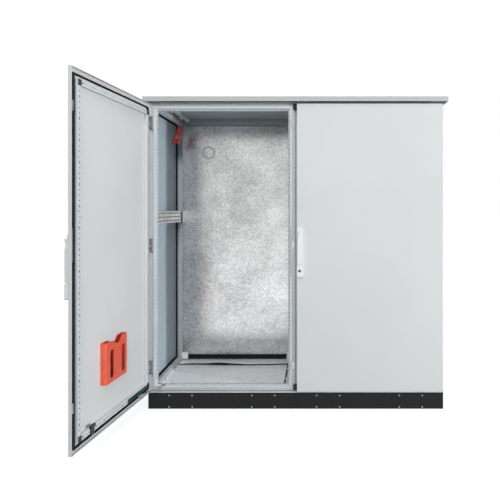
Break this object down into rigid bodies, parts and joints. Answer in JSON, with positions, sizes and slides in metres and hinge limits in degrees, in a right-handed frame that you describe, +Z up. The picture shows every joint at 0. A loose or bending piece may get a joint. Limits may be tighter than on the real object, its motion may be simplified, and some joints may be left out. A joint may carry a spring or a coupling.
{
  "type": "roadside utility cabinet",
  "caption": "Free-standing bayed steel cabinet with a plinth, a rain canopy, hinged doors with swing handles, mounting plates and a document pocket.",
  "frame": {"origin": "on the ground, at the centre of the plinth's underside", "axes": "+X to the right as one faces the doors, +Y into the cabinet, +Z up"},
  "size_m": [1.923, 1.6306, 1.8975],
  "materials": {
    "enclosure_paint": "fine textured powder coat, light grey",
    "frame_paint": "smooth dipped primer, light bluish grey",
    "plinth_paint": "satin black",
    "galvanised": "spangled zinc",
    "zinc": "bright zinc plate",
    "black_foam": "closed foam",
    "black_plastic": "fine grain",
    "white_plastic": "smooth",
    "orange_plastic": "moulded, soft gloss",
    "red_film": "thin film",
    "handle_grey": "smooth enamel on a casting",
    "rail_teal": "smooth"
  },
  "bodies": {
    "cabinet": {"plinth_front_panels": "plinth_paint", "plinth_rear_panels": "plinth_paint", "plinth_side_panels": "plinth_paint", "plinth_screws": "zinc", "left_front_frame": "frame_paint", "right_front_frame": "frame_paint", "left_rear_frame": "frame_paint", "right_rear_frame": "frame_paint", "depth_rails": "frame_paint", "left_side_panel": "enclosure_paint", "right_side_panel": "enclosure_paint", "left_rear_panel": "enclosure_paint", "right_rear_panel": "enclosure_paint", "panel_seals": "black_foam", "roof_plates": "enclosure_paint", "rain_canopy": "enclosure_paint", "canopy_spacers": "zinc", "bay_seal": "black_foam", "seam_caps": "black_plastic", "left_mounting_plate": "galvanised", "right_mounting_plate": "galvanised", "slide_blocks": "white_plastic", "plate_brackets": "galvanised", "gland_plates": "galvanised", "gland_foam": "black_foam", "clamp_screws": "zinc", "side_rail": "galvanised", "frame_hinge_halves": "zinc", "keepers": "zinc", "stay_bracket": "zinc", "red_pouch": "red_film"},
    "left_door": {"left_door_leaf": "enclosure_paint", "left_door_seal": "black_foam", "left_door_tube_frame": "frame_paint", "left_tube_corner_caps": "black_plastic", "left_door_hinge_halves": "zinc", "left_lock_case": "zinc", "left_handle_base": "handle_grey", "door_runner": "black_plastic", "stay_rail": "rail_teal", "document_pocket": "orange_plastic"},
    "left_handle_hub_body": {"left_handle_hub": "handle_grey"},
    "left_handle_lever_body": {"left_handle_lever": "handle_grey"},
    "left_key_plug_body": {"left_key_plug": "zinc"},
    "left_upper_rod_body": {"left_upper_rod": "zinc"},
    "left_lower_rod_body": {"left_lower_rod": "zinc"},
    "right_door": {"right_door_leaf": "enclosure_paint", "right_door_seal": "black_foam", "right_door_tube_frame": "frame_paint", "right_tube_corner_caps": "black_plastic", "right_door_hinge_halves": "zinc", "right_lock_case": "zinc", "right_handle_base": "handle_grey"},
    "right_handle_hub_body": {"right_handle_hub": "handle_grey"},
    "right_handle_lever_body": {"right_handle_lever": "handle_grey"},
    "right_key_plug_body": {"right_key_plug": "zinc"},
    "right_upper_rod_body": {"right_upper_rod": "zinc"},
    "right_lower_rod_body": {"right_lower_rod": "zinc"},
    "stay_arm_body": {"stay_arm": "zinc"}
  },
  "joints": [
    {"name": "left_door_swing", "type": "hinge", "parent": "cabinet", "child": "left_door", "pos_m": [-0.887, -0.359, 0], "axis": [0, 0, -1], "range_deg": [-95.5, 9.5]},
    {"name": "right_door_swing", "type": "hinge", "parent": "cabinet", "child": "right_door", "pos_m": [0.887, -0.359, 0], "axis": [0, 0, 1], "range_deg": [0, 130]},
    {"name": "stay_swing", "type": "hinge", "parent": "cabinet", "child": "stay_arm_body", "pos_m": [-0.81, -0.35, 0.142], "axis": [0, 0, -1], "range_deg": [-116, 13]},
    {"name": "left_handle_turn", "type": "hinge", "parent": "left_door", "child": "left_handle_hub_body", "pos_m": [-0.98652, -1.2152, 1.077], "axis": [0.9954, -0.0958, 0], "range_deg": [0, 90]},
    {"name": "left_lever_tilt", "type": "hinge", "parent": "left_handle_hub_body", "child": "left_handle_lever_body", "pos_m": [-0.99458, -1.21443, 1.077], "axis": [0.0958, 0.9954, 0], "range_deg": [0, 35]},
    {"name": "left_key_turn", "type": "hinge", "parent": "left_door", "child": "left_key_plug_body", "pos_m": [-0.99448, -1.21444, 0.845], "axis": [0.9954, -0.0958, 0], "range_deg": [0, 90]},
    {"name": "left_upper_rod_slide", "type": "slide", "parent": "left_door", "child": "left_upper_rod_body", "axis": [0, 0, 1], "range_m": [0, 0.042]},
    {"name": "left_lower_rod_slide", "type": "slide", "parent": "left_door", "child": "left_lower_rod_body", "axis": [0, 0, -1], "range_m": [0, 0.042]},
    {"name": "right_handle_turn", "type": "hinge", "parent": "right_door", "child": "right_handle_hub_body", "pos_m": [0.0252, -0.376, 1.077], "axis": [0, -1, 0], "range_deg": [0, 90]},
    {"name": "right_lever_tilt", "type": "hinge", "parent": "right_handle_hub_body", "child": "right_handle_lever_body", "pos_m": [0.0252, -0.3841, 1.077], "axis": [-1, 0, 0], "range_deg": [0, 35]},
    {"name": "right_key_turn", "type": "hinge", "parent": "right_door", "child": "right_key_plug_body", "pos_m": [0.0252, -0.384, 0.845], "axis": [0, -1, 0], "range_deg": [0, 90]},
    {"name": "right_upper_rod_slide", "type": "slide", "parent": "right_door", "child": "right_upper_rod_body", "axis": [0, 0, 1], "range_m": [0, 0.042]},
    {"name": "right_lower_rod_slide", "type": "slide", "parent": "right_door", "child": "right_lower_rod_body", "axis": [0, 0, -1], "range_m": [0, 0.042]}
  ],
  "couplings": [
    {"joint": "stay_swing", "follows": "left_door_swing", "ratio": 1.199},
    {"joint": "left_upper_rod_slide", "follows": "left_handle_turn", "m_per_rad": 0.0267},
    {"joint": "left_lower_rod_slide", "follows": "left_handle_turn", "m_per_rad": 0.0267},
    {"joint": "right_upper_rod_slide", "follows": "right_handle_turn", "m_per_rad": 0.0267},
    {"joint": "right_lower_rod_slide", "follows": "right_handle_turn", "m_per_rad": 0.0267}
  ]
}
